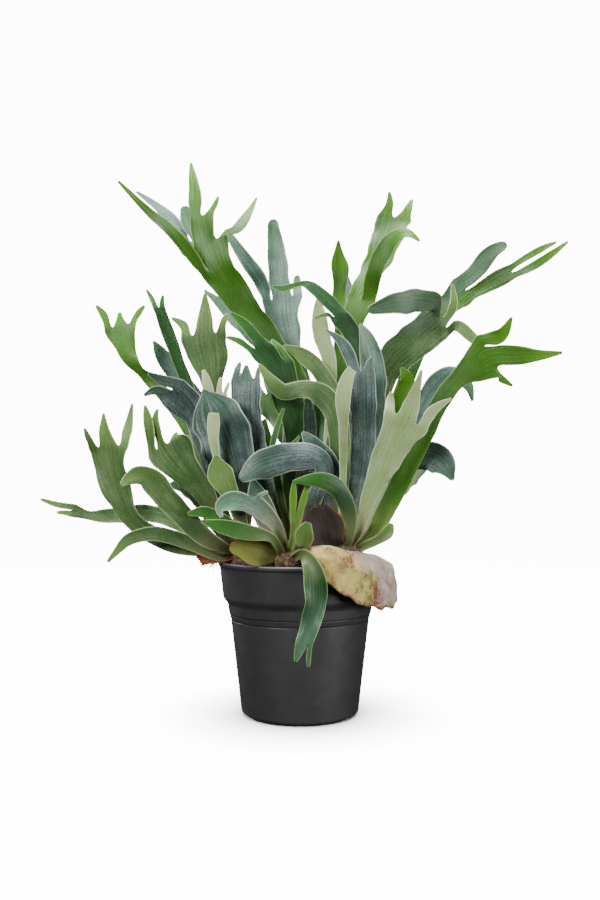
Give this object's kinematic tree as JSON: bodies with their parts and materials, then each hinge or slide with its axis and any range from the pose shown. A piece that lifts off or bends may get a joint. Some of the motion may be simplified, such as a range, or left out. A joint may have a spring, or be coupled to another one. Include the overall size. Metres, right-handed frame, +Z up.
{
  "type": "potted staghorn fern",
  "caption": "Staghorn fern with forked antler-like fronds and papery shield fronds, growing in a plain black plastic nursery pot.",
  "frame": {"origin": "middle of the pot's underside, on the surface the pot stands on", "axes": "+Z up along the pot's axis; -Y is the front of the plant, where the hanging frond and the rim shield are; +X to the right seen from the front"},
  "size_m": [0.5518, 0.3281, 0.5956],
  "materials": {
    "pot_plastic": "satin moulded polypropylene",
    "peat": "rough moist peat and bark",
    "rhizome_felt": "shaggy brown scales and roots",
    "shield_tissue": "dry papery shield frond",
    "frond_green": "leathery fresh green leaf",
    "frond_glaucous": "leathery leaf with blue-grey felt",
    "frond_olive": "leathery leaf with pale grey-green felt"
  },
  "bodies": {
    "root": {"pot": "pot_plastic", "soil": "peat", "rhizome": "rhizome_felt", "shield_over_rim": "shield_tissue", "frond_tall_antler": "frond_green", "frond_behind_antler": "frond_glaucous", "frond_slate_spear": "frond_glaucous", "frond_centre_tall": "frond_glaucous", "frond_folded_green": "frond_green", "frond_olive_strap": "frond_olive", "frond_broad_slate": "frond_glaucous", "frond_arching_olive": "frond_olive", "frond_swan_neck": "frond_green", "frond_left_slate_blade": "frond_glaucous", "frond_left_dusk": "frond_glaucous", "frond_fishtail": "frond_green", "frond_left_upright": "frond_green", "frond_left_grey_lobe": "frond_glaucous", "frond_grey_trident": "frond_olive", "frond_pale_fold": "frond_glaucous", "frond_left_bud": "frond_green", "frond_left_broad": "frond_green", "frond_left_round": "frond_green", "frond_curled_tip": "frond_green", "frond_left_trident": "frond_olive", "frond_far_left": "frond_olive", "frond_left_horn": "frond_olive", "frond_left_small": "frond_glaucous", "frond_dark_ribbon": "frond_olive", "frond_low_curl": "frond_glaucous", "frond_low_fold": "frond_glaucous", "frond_low_green": "frond_green", "frond_bright_pair": "frond_green", "frond_small_curl": "frond_green", "frond_hanging": "frond_green", "frond_small_fork": "frond_green", "frond_arching_leaf": "frond_green", "frond_right_dark": "frond_glaucous", "frond_right_slate": "frond_glaucous", "frond_right_behind": "frond_glaucous", "frond_narrow_bud": "frond_glaucous", "frond_pale_trident": "frond_olive", "frond_long_strap": "frond_green", "frond_right_arch": "frond_glaucous", "frond_right_round": "frond_glaucous", "frond_right_small": "frond_green", "frond_right_low": "frond_olive", "frond_great_diagonal": "frond_olive", "frond_far_right": "frond_green", "frond_top_green": "frond_green", "frond_teardrop": "frond_green", "frond_dark_spear": "frond_glaucous", "frond_pale_lobe": "frond_olive", "frond_back_fork": "frond_green", "frond_back_broad": "frond_glaucous", "frond_back_left": "frond_green", "frond_back_right": "frond_olive", "frond_back_drooping": "frond_green", "shield_front": "shield_tissue", "shield_upright": "shield_tissue"}
  },
  "joints": []
}
